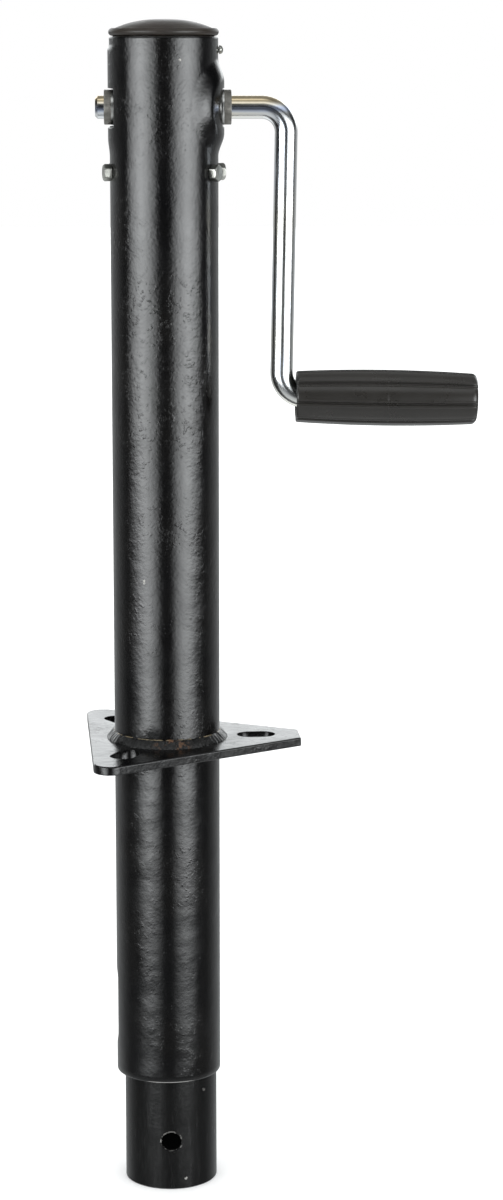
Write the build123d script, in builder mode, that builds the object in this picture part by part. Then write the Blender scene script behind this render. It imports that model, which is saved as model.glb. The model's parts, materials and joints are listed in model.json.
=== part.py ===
from build123d import *
import os
from math import acos, atan2, cos, hypot, pi, radians, sin, tan

# Side-wind trailer tongue jack, retracted, with its crank hanging down.
# Millimetres. The origin is on the outer tube's axis, in the plane of the mounting plate's
# underside. +Z is up, and +X points along the crank's shaft towards the grip.

# ---------------------------------------------------------------- driving dimensions

# Outer tube
tube_r = 57.15 / 2
tube_wall = 1.9
tube_bottom = -183.7
tube_top = 379.0
tube_edge = 0.6
bore_r = tube_r - tube_wall

# Heights of what the tube carries
crank_z = 342.7
seat_screw_z = 309.0
cap_rivet_z = 372.3

# Bulge pressed out of the tube's right side to clear the pinion
bulge_r = 31.7
bulge_crest = 13.5
bulge_end = 25.0
bulge_crest_angle = 37.0
bulge_foot_angle = 47.0

# Flats pressed into the tube on both sides for the bushings' washers
flat_half = 9.4
right_flat_x = 30.65
left_flat_x = -26.3

# Crimp that keys the ram: a capsule pressed into the left side
crimp_z = -147.3
crimp_length = 30.0
crimp_r = 8.0
crimp_depth = 3.0

# Mounting plate: a 60 degree triangle with its tip cut off
plate_t = 4.76
plate_turn = 3.0
plate_base_x = -42.0
plate_base_half = 76.2
plate_tip_x = 72.3
plate_corner_r = 9.0
plate_tip_r = 4.5
plate_top_edge = 0.8
plate_lower_edge = 0.6
slot_circle_r = 48.5
slot_length = 21.0
slot_width = 13.5
weld_leg = 4.5

# Top cap
cap_rim_r = 28.9
cap_rim_h = 4.0
cap_rim_edge = 0.8
cap_dome_r = 25.8
cap_dome_h = 4.6
cap_gap = 0.4
cap_skirt_r = 26.5
cap_skirt_h = 17.0
cap_wall = 2.2
cap_core_r = 17.8

# Rivet that holds the cap
rivet_r = 1.6
rivet_inner = 23.8
rivet_head_r = 2.35
rivet_head_h = 2.2

# Crank: one bar, bent twice, whose handle end leans in by a degree
rod_r = 6.0
rod_left_end = -36.0
rod_leg_x = 64.4
rod_right_end = 159.7
rod_left_chamfer = 1.3
rod_right_chamfer = 0.8
crank_throw = 152.4
crank_lean = 1.0
bend_r = 13.0

# Grip, as stations along its level spindle
grip_start = 72.3
grip_end = 169.0
grip_r_start = 13.6
grip_r_mid = 14.95
grip_r_end = 13.4
grip_round_start = 1.0
grip_round_end = 3.0
grip_bore_r = 6.25
grip_mouth_r = 11.5
grip_throat_r = 7.5
grip_mouth_depth = 8.0
flute_count = 8
flute_r = 1.3
flute_depth = 0.9
flute_turn = 31.6

# Snap ring that keeps the grip on the bar
ring_x = 152.7
ring_t = 1.6
ring_stand = 1.5
ring_groove = 0.7

# Bushings in the tube's two flats
bushing_r = 8.0
flange_r = 9.05
flange_t = 3.75
flange_edge = 0.25
washer_r = 9.2
right_washer_t = 0.95
left_washer_t = 1.3
left_bushing_inner = -23.9

# Bevel gears, meeting at the crossing of the crank's and the screw's axes
gear_module = 2.0
pinion_teeth = 14
gear_teeth = 21
pressure_angle = radians(20)
tooth_share = 0.45
addendum = 0.9 * gear_module
dedendum = 1.25 * gear_module
face_share = 0.703

# Hubs of the gears, as distances from the crossing
pinion_hub_front = 5.0
pinion_hub_back = 24.0
pinion_hub_r = 8.3
pinion_rim_r = 11.0
gear_face = 10.8
gear_web = 19.0
gear_hub = 24.0
gear_hub_r = 14.0

# Thrust washer and collar on the crank's shaft
thrust_washer_r = 11.0
thrust_washer_t = 1.1
collar_r = 8.5
collar_end = -17.8

# Lead screw, its thread and the nut
screw_r = 8.0
thread_root_r = 6.4
thread_lead = 5.0
thread_top = 298.0
thread_bottom = -112.0
screw_bottom = -125.0
screw_journal_r = 6.5
nut_bore_r = screw_r + 0.25
nut_flange_t = 6.0
nut_depth = 20.0
stop_washer_r = 14.0
stop_washer_top = -114.0
stop_washer_t = 3.0

# Ram
ram_r = 25.3
ram_wall = 2.3
ram_shift = 1.1
ram_bottom = -246.2
ram_top = 290.0
ram_edge = 0.5
ram_hole_r = 5.55
ram_hole_z = -218.8
groove_width = 9.0
groove_depth = 1.0
groove_bottom = -178.0
groove_top = 262.0

# Thrust bearing
ball_r = 2.98
ball_gap = 0.02
ball_count = 12
ball_circle_r = 15.5
ball_pocket = 0.15
race_r = 20.0
race_t = 2.5
cage_t = 3.0
seat_floor_t = 4.7
seat_rim = 6.0

# Cross pins: radius, half length and place
pinion_pin_r = 2.0
pinion_pin_x = 8.5
collar_pin_r = 1.5
collar_pin_x = -20.8
gear_pin_r = 1.75
stop_pin_r = 2.0
stop_pin_half = 12.0
stop_pin_z = -120.5
nut_pin_r = 2.5
nut_pin_inner = 18.7
pin_edge = 0.3

# Screws that hold the bearing seat
seat_screw_turn = -8.0
seat_screw_spread = 20.0
screw_head_flats = 7.9
screw_head_h = 4.0
screw_shank_r = 2.5
screw_tip_r = 22.0
screw_hole_play = 0.25

# Fits, and how far a cutting shape runs past what it cuts
pin_fit = 0.02
running_fit = 0.05
wide_gap = 1.0
overrun = 5.0

# ---------------------------------------------------------------- derived sizes

grip_z = crank_z - crank_throw

pinion_pitch_r = gear_module * pinion_teeth / 2
gear_pitch_r = gear_module * gear_teeth / 2
cone_length = hypot(pinion_pitch_r, gear_pitch_r)
pinion_angle = atan2(pinion_pitch_r, gear_pitch_r)
gear_angle = atan2(gear_pitch_r, pinion_pitch_r)
apex = Vector(0, 0, crank_z)
pinion_back = gear_pitch_r + dedendum * sin(pinion_angle)
pinion_root_r = pinion_pitch_r - dedendum * cos(pinion_angle)

gear_top = crank_z - gear_face
gear_hub_top = crank_z - gear_web
gear_hub_bottom = crank_z - gear_hub
gear_root_r = gear_pitch_r - dedendum * cos(gear_angle)
gear_root_z = pinion_pitch_r + dedendum * sin(gear_angle)
gear_pin_z = gear_hub_bottom + 2.5
screw_top = gear_top + 0.8

ball_z = gear_hub_bottom - race_t - ball_r - ball_gap
lower_race_top = ball_z - ball_r - ball_gap
seat_floor_top = lower_race_top - race_t
seat_rim_top = seat_screw_z + seat_rim
seat_r = bore_r - running_fit

nut_r = ram_r - ram_wall - 0.1
nut_flange_r = ram_r - 0.3
nut_pin_z = ram_top - nut_depth / 2
nut_pin_outer = ram_r - 0.6

bushing_bore_r = rod_r + running_fit
right_flange_x = right_flat_x + right_washer_t
left_flange_x = left_flat_x - left_washer_t
right_bushing_inner = pinion_hub_back + thrust_washer_t + 0.1

cap_bottom = tube_top + cap_gap
cap_rim_top = cap_bottom + cap_rim_h
cap_top = cap_rim_top + cap_dome_h

Z_AXIS = Axis.Z
CRANK_AXIS = Axis((0, 0, crank_z), (1, 0, 0))
GRIP_AXIS = Axis((0, 0, grip_z), (1, 0, 0))

# Turns what is modelled on the level spindle about the bar's first corner
lean = (
    Location((rod_leg_x, 0, crank_z))
    * Rotation(0, crank_lean, 0)
    * Location((-rod_leg_x, 0, -crank_z))
)

# ---------------------------------------------------------------- helpers


def bar_x(radius, start, end, z, mode=Mode.ADD):
    """A round bar along X."""
    with Locations(Location(((start + end) / 2, 0, z), (0, 90, 0))):
        Cylinder(radius, end - start, mode=mode)


def bar_y(radius, start, end, x, z, mode=Mode.ADD):
    """A round bar along Y."""
    with Locations(Location((x, (start + end) / 2, z), (90, 0, 0))):
        Cylinder(radius, end - start, mode=mode)


def bar_z(radius, bottom, top, x=0, mode=Mode.ADD):
    """A round bar along Z."""
    with Locations((x, 0, (bottom + top) / 2)):
        Cylinder(radius, top - bottom, mode=mode)


def spoke(radius, inner, outer, z, azimuth, mode=Mode.ADD):
    """A round bar pointing away from the tube's axis."""
    middle = (inner + outer) / 2
    along = Vector(cos(radians(azimuth)), sin(radians(azimuth)), 0)
    with Locations(Plane(along * middle + Vector(0, 0, z), z_dir=along)):
        Cylinder(radius, outer - inner, mode=mode)


def block(start, end, half_y, half_z, mode=Mode.ADD):
    """A block from start to end along X, about the crank's axis."""
    with Locations(((start + end) / 2, 0, crank_z)):
        Box(end - start, 2 * half_y, 2 * half_z, mode=mode)


def on_circle(radius, angle):
    """A point of the XY plane at that radius and angle."""
    return (radius * cos(radians(angle)), radius * sin(radians(angle)))


def bulge_plan(inset):
    """The bulge seen from above, pulled in by inset: a crest arc with sloping sides."""
    crest_r = bulge_r - inset
    foot_r = tube_r - inset
    crest_low = on_circle(crest_r, -bulge_crest_angle)
    crest_high = on_circle(crest_r, bulge_crest_angle)
    foot_low = on_circle(foot_r, -bulge_foot_angle)
    foot_high = on_circle(foot_r, bulge_foot_angle)
    Line((0, 0), foot_low)
    Line(foot_low, crest_low)
    ThreePointArc(crest_low, (crest_r, 0), crest_high)
    Line(crest_high, foot_high)
    Line(foot_high, (0, 0))


def bulge_side(inset):
    """The bulge's half section in the XZ plane, pulled in by inset."""
    crest_x = bulge_r - inset
    foot_x = tube_r - inset
    low_foot = (foot_x, crank_z - bulge_end)
    low_crest = (crest_x, crank_z - bulge_crest)
    high_crest = (crest_x, crank_z + bulge_crest)
    high_foot = (foot_x, crank_z + bulge_end)
    Line((0, low_foot[1]), low_foot)
    Spline(low_foot, low_crest, tangents=[(0, 1), (0, 1)])
    Line(low_crest, high_crest)
    Spline(high_crest, high_foot, tangents=[(0, 1), (0, 1)])
    Line(high_foot, (0, high_foot[1]))
    Line((0, high_foot[1]), (0, low_foot[1]))


def involute(angle):
    """The involute function."""
    return tan(angle) - angle


def tooth_section(teeth, pitch_angle):
    """Corners of one tooth at its large end, as (across, outward) from the pitch point.

    The section is that of a spur gear as large as the back cone.
    """
    back_r = gear_module * teeth / 2 / cos(pitch_angle)
    base_r = back_r * cos(pressure_angle)
    half_at_pitch = tooth_share * pi * gear_module / (2 * back_r)
    root_r = back_r - dedendum - 0.5 * gear_module
    radii = [max(base_r, back_r - dedendum) + 0.01, back_r, back_r + addendum]
    flank = []
    for radius in radii:
        spread = involute(pressure_angle) - involute(acos(base_r / radius))
        flank.append((radius, half_at_pitch + spread))
    flank.insert(0, (root_r, flank[0][1]))
    right = [(r * sin(a), r * cos(a) - back_r) for r, a in flank]
    left = [(-across, outward) for across, outward in reversed(right)]
    return right + left


def bevel_tooth(teeth, pitch_angle, shaft, radial):
    """One straight bevel tooth that narrows towards the apex."""
    element = shaft * cos(pitch_angle) + radial * sin(pitch_angle)
    outward = radial * cos(pitch_angle) - shaft * sin(pitch_angle)
    across = shaft.cross(radial)
    large = [
        element * cone_length + across * u + outward * v
        for u, v in tooth_section(teeth, pitch_angle)
    ]
    ends = [
        Wire.make_polygon([apex + corner * share for corner in large], close=True)
        for share in (1.0, face_share)
    ]
    return Solid.make_loft(ends, ruled=True)


def capsule(radius, mode=Mode.ADD):
    """A round-ended upright bar where the tube is crimped."""
    x = -(tube_r + crimp_r - crimp_depth)
    half = crimp_length / 2
    with Locations((x, 0, crimp_z)):
        Cylinder(radius, crimp_length, mode=mode)
    with Locations((x, 0, crimp_z - half), (x, 0, crimp_z + half)):
        Sphere(radius, mode=mode)


# ---------------------------------------------------------------- housing

seat_screw_azimuths = [
    seat_screw_turn + side + spread
    for side in (0, 180)
    for spread in (-seat_screw_spread, seat_screw_spread)
]

# The bulge's outer and inner shapes: its plan, cut to its side view turned about the tube's axis
bulge_shapes = []
for inset in (0, tube_wall):
    with BuildPart() as bulge:
        with BuildSketch(Plane.XY.offset(crank_z - bulge_end)):
            with BuildLine():
                bulge_plan(inset)
            make_face()
        extrude(amount=2 * bulge_end)
        with BuildSketch(Plane.XZ):
            with BuildLine():
                bulge_side(inset)
            make_face()
        revolve(axis=Z_AXIS, mode=Mode.INTERSECT)
    bulge_shapes.append(bulge.part)
bulge_outside, bulge_inside = bulge_shapes

# The crimp's inner face: the capsule one wall larger, kept inside the tube's outline
with BuildPart() as crimp_rib:
    capsule(crimp_r + tube_wall)
    bar_z(tube_r, crimp_z - crimp_length, crimp_z + crimp_length, mode=Mode.INTERSECT)

# The wall behind the left flat, kept inside the tube's outline
with BuildPart() as left_wall:
    block(left_flat_x, left_flat_x + tube_wall, tube_r, flat_half + 1)
    bar_z(tube_r, crank_z - bulge_end, crank_z + bulge_end, mode=Mode.INTERSECT)

with BuildPart() as outer_tube:
    bar_z(tube_r, tube_bottom, tube_top)
    add(bulge_outside)
    block(right_flat_x, tube_r + 2 * overrun, tube_r, flat_half, Mode.SUBTRACT)
    block(-tube_r - overrun, left_flat_x, tube_r, flat_half, Mode.SUBTRACT)
    chamfer(outer_tube.edges().group_by(Axis.Z)[0], tube_edge)
    bar_z(bore_r, tube_bottom - overrun, tube_top + overrun, mode=Mode.SUBTRACT)
    add(bulge_inside, mode=Mode.SUBTRACT)
    bar_x(flat_half + 1, right_flat_x - tube_wall, right_flat_x - 0.8, crank_z)
    add(left_wall.part)
    bar_x(bushing_r + pin_fit, -tube_r - overrun, tube_r + overrun, crank_z, Mode.SUBTRACT)
    add(crimp_rib.part)
    capsule(crimp_r, mode=Mode.SUBTRACT)
    for azimuth in seat_screw_azimuths:
        hole_r = screw_shank_r + screw_hole_play
        spoke(hole_r, bore_r - overrun, tube_r + overrun, seat_screw_z, azimuth, Mode.SUBTRACT)
    spoke(rivet_r + pin_fit, bore_r - overrun, tube_r + overrun, cap_rivet_z, 0, Mode.SUBTRACT)

plate_plane = Plane.XY.rotated((0, 0, plate_turn))
tip_half = plate_base_half - (plate_tip_x - plate_base_x) * tan(radians(30))

with BuildPart() as mounting_plate:
    with BuildSketch(plate_plane):
        with BuildLine():
            Polyline(
                (plate_base_x, -plate_base_half),
                (plate_tip_x, -tip_half),
                (plate_tip_x, tip_half),
                (plate_base_x, plate_base_half),
                close=True,
            )
        make_face()
        corners = vertices().sort_by(Axis((0, 0, 0), plate_plane.x_dir))
        fillet(corners[:2], plate_corner_r)
        fillet(corners[2:], plate_tip_r)
        with PolarLocations(slot_circle_r, 3):
            SlotOverall(slot_length, slot_width, mode=Mode.SUBTRACT)
    extrude(amount=plate_t)
    fillet(mounting_plate.faces().sort_by(Axis.Z)[-1].outer_wire().edges(), plate_top_edge)
    fillet(mounting_plate.faces().sort_by(Axis.Z)[0].outer_wire().edges(), plate_lower_edge)
    bar_z(tube_r + pin_fit, -overrun, plate_t + overrun, mode=Mode.SUBTRACT)

with BuildPart() as plate_weld:
    with BuildSketch(Plane.XZ):
        with BuildLine():
            toe = (tube_r + weld_leg, plate_t)
            top = (tube_r, plate_t + weld_leg)
            belly = (tube_r + 0.6 * weld_leg, plate_t + 0.6 * weld_leg)
            Line((tube_r, plate_t), toe)
            ThreePointArc(toe, belly, top)
            Line(top, (tube_r, plate_t))
        make_face()
    revolve(axis=Z_AXIS)

with BuildPart() as top_cap:
    with BuildSketch(Plane.XZ):
        with BuildLine():
            shoulder = (cap_dome_r, cap_rim_top)
            rim_mid = (cap_rim_r, (cap_bottom + cap_rim_top) / 2)
            Line((0, cap_bottom), (0, cap_top))
            ThreePointArc((0, cap_top), (cap_dome_r / 2, cap_top - cap_dome_h / 4), shoulder)
            Spline(shoulder, rim_mid, tangents=[(1, 0), (0, -1)])
            Line(rim_mid, (cap_rim_r, cap_bottom))
            Line((cap_rim_r, cap_bottom), (0, cap_bottom))
        make_face()
    revolve(axis=Z_AXIS)
    fillet(top_cap.edges().group_by(Axis.Z)[0], cap_rim_edge)
    bar_z(cap_skirt_r, cap_bottom - cap_skirt_h, cap_bottom + 1)
    bar_z(cap_skirt_r - cap_wall, cap_bottom - 2 * cap_skirt_h, cap_bottom + 1.5, mode=Mode.SUBTRACT)
    bar_z(cap_core_r, cap_bottom, cap_rim_top + 0.6, mode=Mode.SUBTRACT)
    spoke(rivet_r + pin_fit, rivet_inner - overrun, cap_skirt_r + overrun, cap_rivet_z, 0, Mode.SUBTRACT)

with BuildPart() as cap_rivet:
    head_x = tube_r + 0.4
    bar_x(rivet_r, rivet_inner, head_x, cap_rivet_z)
    bar_x(rivet_head_r, head_x, head_x + rivet_head_h, cap_rivet_z)
    fillet(cap_rivet.edges().sort_by(Axis.X)[-1], rivet_r)

with BuildPart() as right_bushing:
    bar_x(bushing_r, right_bushing_inner, right_flange_x, crank_z)
    bar_x(flange_r, right_flange_x, right_flange_x + flange_t, crank_z)
    bar_x(bushing_bore_r, 0, right_flange_x + 2 * flange_t, crank_z, Mode.SUBTRACT)
    chamfer(right_bushing.edges().group_by(Axis.X)[-1], flange_edge)

with BuildPart() as left_bushing:
    bar_x(bushing_r, left_flange_x, left_bushing_inner, crank_z)
    bar_x(flange_r, left_flange_x - flange_t, left_flange_x, crank_z)
    bar_x(bushing_bore_r, left_flange_x - 2 * flange_t, 0, crank_z, Mode.SUBTRACT)
    chamfer(left_bushing.edges().group_by(Axis.X)[0], flange_edge)

with BuildPart() as right_washer:
    bar_x(washer_r, right_flat_x, right_flange_x, crank_z)
    bar_x(bushing_r + running_fit, 0, right_flange_x + overrun, crank_z, Mode.SUBTRACT)

with BuildPart() as left_washer:
    bar_x(washer_r, left_flange_x, left_flat_x, crank_z)
    bar_x(bushing_r + running_fit, left_flange_x - overrun, 0, crank_z, Mode.SUBTRACT)

with BuildPart() as bearing_seat:
    bar_z(seat_r, seat_floor_top - seat_floor_t, seat_rim_top)
    bar_z(race_r + 0.6, seat_floor_top, seat_rim_top + overrun, mode=Mode.SUBTRACT)
    bar_z(screw_r + wide_gap, seat_floor_top - 2 * seat_floor_t, seat_floor_top + 1, mode=Mode.SUBTRACT)
    for azimuth in seat_screw_azimuths:
        thread_r = screw_shank_r + pin_fit
        spoke(thread_r, race_r - overrun, tube_r + overrun, seat_screw_z, azimuth, Mode.SUBTRACT)

with BuildPart() as seat_screws:
    for azimuth in seat_screw_azimuths:
        spoke(screw_shank_r, screw_tip_r, tube_r + 0.5, seat_screw_z, azimuth)
        along = Vector(cos(radians(azimuth)), sin(radians(azimuth)), 0)
        base = along * tube_r + Vector(0, 0, seat_screw_z)
        with BuildSketch(Plane(base, x_dir=(0, 0, 1), z_dir=along)):
            RegularPolygon(screw_head_flats / 2, 6, major_radius=False, rotation=azimuth)
        extrude(amount=screw_head_h)

with BuildPart() as lower_race:
    bar_z(race_r, seat_floor_top, lower_race_top)
    bar_z(screw_r + wide_gap, seat_floor_top - 1, lower_race_top + 1, mode=Mode.SUBTRACT)

# ---------------------------------------------------------------- crank

route = [
    Vector(rod_left_end, 0, crank_z),
    Vector(rod_leg_x, 0, crank_z),
    (lean * Location((rod_leg_x, 0, grip_z))).position,
    (lean * Location((rod_right_end, 0, grip_z))).position,
]

with BuildPart() as crank_rod:
    with BuildLine() as rod_line:
        FilletPolyline(*route, radius=bend_r)
    with BuildSketch(Plane(route[0], z_dir=(1, 0, 0))):
        Circle(rod_r)
    sweep()
    chamfer(crank_rod.edges().group_by(Axis.X)[0], rod_left_chamfer)
    chamfer(crank_rod.faces().sort_by(Axis.X)[-1].edges(), rod_right_chamfer)
    bar_y(pinion_pin_r + pin_fit, -2 * rod_r, 2 * rod_r, pinion_pin_x, crank_z, Mode.SUBTRACT)
    bar_y(collar_pin_r + pin_fit, -2 * rod_r, 2 * rod_r, collar_pin_x, crank_z, Mode.SUBTRACT)
    with Locations(lean * Location((ring_x + ring_t / 2, 0, grip_z), (0, 90, 0))):
        Cylinder(rod_r + 1, ring_t + 0.1, mode=Mode.SUBTRACT)
        Cylinder(rod_r - ring_groove, ring_t + 0.1)

pinion_teeth_solids = [
    bevel_tooth(pinion_teeth, pinion_angle, Vector(1, 0, 0), Vector(0, 0, -1)).rotate(
        CRANK_AXIS, (k + 0.5) * 360 / pinion_teeth
    )
    for k in range(pinion_teeth)
]

with BuildPart() as drive_pinion:
    with BuildSketch(Plane.XZ):
        with BuildLine():
            Polyline(
                (pinion_hub_front, crank_z),
                (pinion_hub_front, crank_z + pinion_hub_r),
                (face_share * pinion_back, crank_z + pinion_hub_r),
                (pinion_back, crank_z + pinion_root_r),
                (pinion_hub_back, crank_z + pinion_rim_r),
                (pinion_hub_back, crank_z),
                close=True,
            )
        make_face()
    revolve(axis=CRANK_AXIS)
    add(pinion_teeth_solids)
    bar_x(rod_r + pin_fit, 0, pinion_hub_back + overrun, crank_z, Mode.SUBTRACT)
    bar_y(pinion_pin_r + pin_fit, -2 * rod_r, 2 * rod_r, pinion_pin_x, crank_z, Mode.SUBTRACT)

with BuildPart() as pinion_pin:
    bar_y(pinion_pin_r, -pinion_hub_r, pinion_hub_r, pinion_pin_x, crank_z)
    chamfer(pinion_pin.edges().filter_by(GeomType.CIRCLE), pin_edge)

with BuildPart() as thrust_washer:
    bar_x(thrust_washer_r, pinion_hub_back, pinion_hub_back + thrust_washer_t, crank_z)
    bar_x(rod_r + pin_fit, 0, pinion_hub_back + overrun, crank_z, Mode.SUBTRACT)

with BuildPart() as shaft_collar:
    bar_x(collar_r, left_bushing_inner + 0.1, collar_end, crank_z)
    bar_x(rod_r + pin_fit, left_bushing_inner - overrun, 0, crank_z, Mode.SUBTRACT)
    bar_y(collar_pin_r + pin_fit, -2 * collar_r, 2 * collar_r, collar_pin_x, crank_z, Mode.SUBTRACT)

with BuildPart() as collar_pin:
    bar_y(collar_pin_r, -collar_r, collar_r, collar_pin_x, crank_z)
    chamfer(collar_pin.edges().filter_by(GeomType.CIRCLE), pin_edge)

with BuildPart() as grip_snap_ring:
    bar_x(rod_r + ring_stand, ring_x, ring_x + ring_t, grip_z)
    bar_x(rod_r - ring_groove + running_fit, ring_x - 1, ring_x + 2 * ring_t, grip_z, Mode.SUBTRACT)
    with Locations((ring_x, 0, grip_z - rod_r)):
        Box(4 * ring_t, rod_r - 1, rod_r, mode=Mode.SUBTRACT)

# ---------------------------------------------------------------- grip

grip_mid_x = (grip_start + grip_end) / 2
flute_x_length = grip_end - grip_start + 2 * overrun

with BuildPart() as grip:
    with BuildSketch(Plane.XZ):
        with BuildLine():
            start = (grip_start, grip_z + grip_r_start)
            middle = (grip_mid_x, grip_z + grip_r_mid)
            end = (grip_end, grip_z + grip_r_end)
            Line((grip_start, grip_z), start)
            ThreePointArc(start, middle, end)
            Line(end, (grip_end, grip_z))
            Line((grip_end, grip_z), (grip_start, grip_z))
        make_face()
    revolve(axis=GRIP_AXIS)
    fillet(grip.edges().filter_by(GeomType.CIRCLE).sort_by(Axis.X)[-1], grip_round_end)
    fillet(grip.edges().filter_by(GeomType.CIRCLE).sort_by(Axis.X)[0], grip_round_start)
    bar_x(grip_bore_r, grip_start - 1, rod_right_end + 1.5, grip_z, Mode.SUBTRACT)
    with Locations(Location((grip_start + grip_mouth_depth / 2, 0, grip_z), (0, 90, 0))):
        Cone(grip_mouth_r, grip_throat_r, grip_mouth_depth, mode=Mode.SUBTRACT)
    bar_x(rod_r + ring_stand + 0.3, ring_x - 0.2, ring_x + ring_t + 0.2, grip_z, Mode.SUBTRACT)
    for k in range(flute_count):
        turn = Location((0, 0, grip_z)) * Rotation(360 * k / flute_count + flute_turn, 0, 0)
        flute_centre_r = grip_r_mid + flute_r - flute_depth
        with Locations(turn * Location((grip_mid_x, 0, flute_centre_r), (0, 90, 0))):
            Cylinder(flute_r, flute_x_length, mode=Mode.SUBTRACT)

# ---------------------------------------------------------------- screw

with BuildPart() as lead_screw:
    with BuildSketch(Plane.XZ):
        with BuildLine():
            thread = [(screw_r, screw_top), (screw_r, thread_top)]
            for k in range(int((thread_top - thread_bottom) / thread_lead)):
                z = thread_top - k * thread_lead
                thread.append((thread_root_r, z - 0.2 * thread_lead))
                thread.append((thread_root_r, z - 0.5 * thread_lead))
                thread.append((screw_r, z - 0.7 * thread_lead))
                thread.append((screw_r, z - thread_lead))
            thread.append((screw_journal_r, thread_bottom))
            thread.append((screw_journal_r, screw_bottom))
            Polyline((0, screw_top), *thread, (0, screw_bottom), close=True)
        make_face()
    revolve(axis=Z_AXIS)
    bar_y(gear_pin_r + pin_fit, -2 * screw_r, 2 * screw_r, 0, gear_pin_z, Mode.SUBTRACT)
    bar_y(stop_pin_r + pin_fit, -2 * screw_r, 2 * screw_r, 0, stop_pin_z, Mode.SUBTRACT)

gear_teeth_solids = [
    bevel_tooth(gear_teeth, gear_angle, Vector(0, 0, -1), Vector(1, 0, 0)).rotate(
        Z_AXIS, k * 360 / gear_teeth
    )
    for k in range(gear_teeth)
]

with BuildPart() as driven_gear:
    with BuildSketch(Plane.XZ):
        with BuildLine():
            Polyline(
                (0, gear_top),
                (face_share * gear_root_r - 2, gear_top),
                (face_share * gear_root_r, crank_z - face_share * gear_root_z),
                (gear_root_r, crank_z - gear_root_z),
                (gear_root_r, gear_hub_top),
                (gear_hub_r, gear_hub_top),
                (gear_hub_r, gear_hub_bottom),
                (0, gear_hub_bottom),
                close=True,
            )
        make_face()
    revolve(axis=Z_AXIS)
    add(gear_teeth_solids)
    bar_z(screw_r + pin_fit, gear_hub_bottom - 1, gear_top + 1, mode=Mode.SUBTRACT)
    bar_y(gear_pin_r + pin_fit, -2 * gear_hub_r, 2 * gear_hub_r, 0, gear_pin_z, Mode.SUBTRACT)

with BuildPart() as gear_pin:
    bar_y(gear_pin_r, -gear_hub_r, gear_hub_r, 0, gear_pin_z)
    chamfer(gear_pin.edges().filter_by(GeomType.CIRCLE), pin_edge)

with BuildPart() as upper_race:
    bar_z(race_r, gear_hub_bottom - race_t, gear_hub_bottom)
    bar_z(screw_r + pin_fit, gear_hub_bottom - 2 * race_t, gear_hub_bottom + 1, mode=Mode.SUBTRACT)

with BuildPart() as stop_washer:
    bar_z(stop_washer_r, stop_washer_top - stop_washer_t, stop_washer_top)
    bar_z(screw_journal_r + pin_fit, screw_bottom, stop_washer_top + 1, mode=Mode.SUBTRACT)

with BuildPart() as stop_pin:
    bar_y(stop_pin_r, -stop_pin_half, stop_pin_half, 0, stop_pin_z)
    chamfer(stop_pin.edges().filter_by(GeomType.CIRCLE), pin_edge)

# ---------------------------------------------------------------- thrust bearing

with BuildPart() as ball_cage:
    bar_z(race_r - 0.5, ball_z - cage_t / 2, ball_z + cage_t / 2)
    bar_z(screw_r + 3 * wide_gap, ball_z - cage_t, ball_z + cage_t, mode=Mode.SUBTRACT)
    with Locations((0, 0, ball_z)):
        with PolarLocations(ball_circle_r, ball_count):
            Cylinder(ball_r + ball_pocket, 2 * cage_t, mode=Mode.SUBTRACT)

with BuildPart() as bearing_balls:
    with Locations((0, 0, ball_z)):
        with PolarLocations(ball_circle_r, ball_count):
            Sphere(ball_r)

# ---------------------------------------------------------------- ram

with BuildPart() as ram_tube:
    bar_z(ram_r, ram_bottom, ram_top, ram_shift)
    bar_z(ram_r - ram_wall, ram_bottom - 1, ram_top + 1, ram_shift, Mode.SUBTRACT)
    chamfer(ram_tube.edges().group_by(Axis.Z)[0], ram_edge)
    bar_y(ram_hole_r, -ram_r - overrun, ram_r + overrun, ram_shift, ram_hole_z, Mode.SUBTRACT)
    with Locations((ram_shift - ram_r, 0, (groove_bottom + groove_top) / 2)):
        Box(2 * groove_depth, groove_width, groove_top - groove_bottom, mode=Mode.SUBTRACT)
    bar_y(nut_pin_r + pin_fit, -2 * ram_r, 2 * ram_r, ram_shift, nut_pin_z, Mode.SUBTRACT)

with BuildPart() as drive_nut:
    bar_z(nut_r, ram_top - nut_depth, ram_top, ram_shift)
    bar_z(nut_flange_r, ram_top, ram_top + nut_flange_t, ram_shift)
    bar_z(nut_bore_r, ram_top - nut_depth - 1, ram_top + nut_flange_t + 1, mode=Mode.SUBTRACT)
    for side in (-1, 1):
        ends = sorted((side * (nut_pin_inner - 0.2), side * ram_r))
        bar_y(nut_pin_r + pin_fit, *ends, ram_shift, nut_pin_z, Mode.SUBTRACT)

with BuildPart() as nut_pins:
    for side in (-1, 1):
        ends = sorted((side * nut_pin_inner, side * nut_pin_outer))
        bar_y(nut_pin_r, *ends, ram_shift, nut_pin_z)

# ---------------------------------------------------------------- files

pieces = {
    "outer_tube": outer_tube.part,
    "mounting_plate": mounting_plate.part,
    "plate_weld": plate_weld.part,
    "top_cap": top_cap.part,
    "cap_rivet": cap_rivet.part,
    "right_bushing": right_bushing.part,
    "left_bushing": left_bushing.part,
    "right_washer": right_washer.part,
    "left_washer": left_washer.part,
    "bearing_seat": bearing_seat.part,
    "seat_screws": seat_screws.part,
    "lower_race": lower_race.part,
    "crank_rod": crank_rod.part,
    "drive_pinion": drive_pinion.part,
    "pinion_pin": pinion_pin.part,
    "thrust_washer": thrust_washer.part,
    "shaft_collar": shaft_collar.part,
    "collar_pin": collar_pin.part,
    "grip_snap_ring": grip_snap_ring.part.moved(lean),
    "grip": grip.part.moved(lean),
    "lead_screw": lead_screw.part,
    "driven_gear": driven_gear.part,
    "gear_pin": gear_pin.part,
    "upper_race": upper_race.part,
    "stop_washer": stop_washer.part,
    "stop_pin": stop_pin.part,
    "ball_cage": ball_cage.part,
    "bearing_balls": bearing_balls.part,
    "ram_tube": ram_tube.part,
    "drive_nut": drive_nut.part,
    "nut_pins": nut_pins.part,
}

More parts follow.
